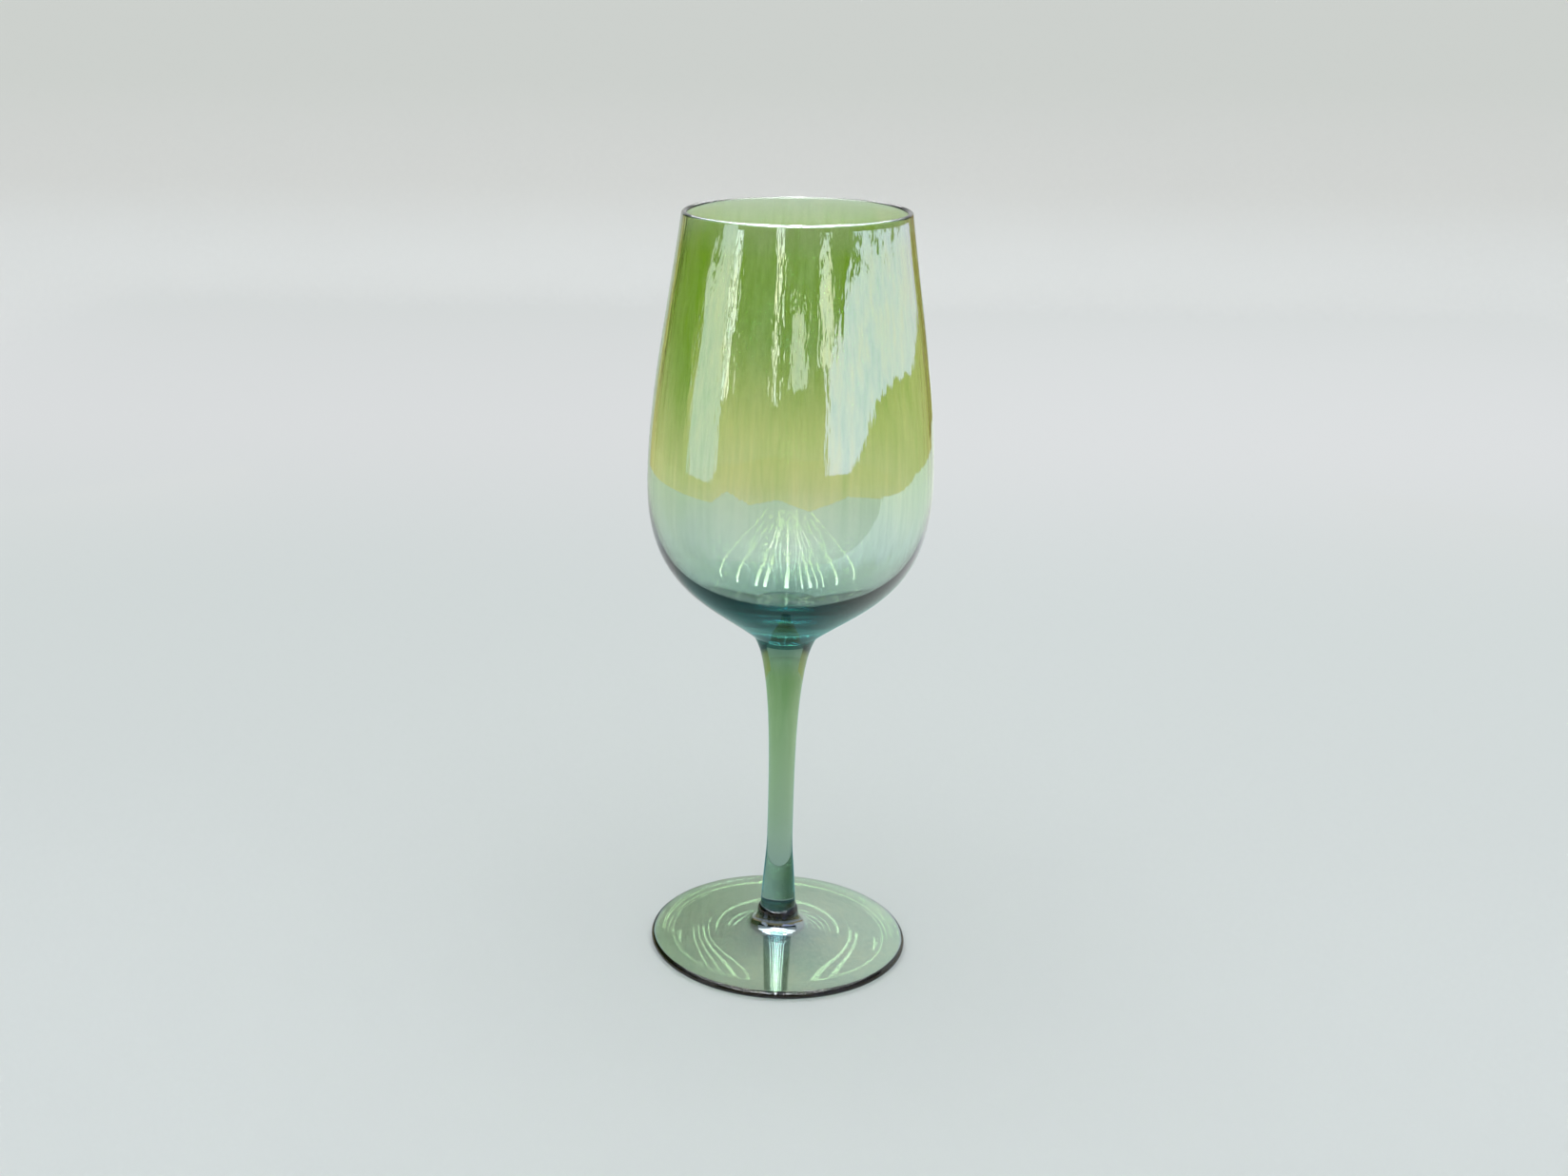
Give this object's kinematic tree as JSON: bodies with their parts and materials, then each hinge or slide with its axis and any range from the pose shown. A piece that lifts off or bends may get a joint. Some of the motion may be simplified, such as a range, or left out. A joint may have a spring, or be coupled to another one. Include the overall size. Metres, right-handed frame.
{
  "type": "wine glass",
  "caption": "Tall stemmed wine glass in green lustre glass: tapered tulip bowl with a rounded lip, slim waisted stem and a round coned foot.",
  "frame": {"origin": "centre of the circle on which the foot rests, in the plane of the table", "axes": "+Z along the glass's axis of revolution, from the foot up to the rim; X and Y are any two directions square to it"},
  "size_m": [0.0842, 0.0842, 0.23],
  "materials": {
    "green_lustre_glass": "polished clear glass with a green mirror-like lustre coating"
  },
  "bodies": {
    "root": {"bowl": "green_lustre_glass", "stem": "green_lustre_glass", "foot": "green_lustre_glass"}
  },
  "joints": []
}
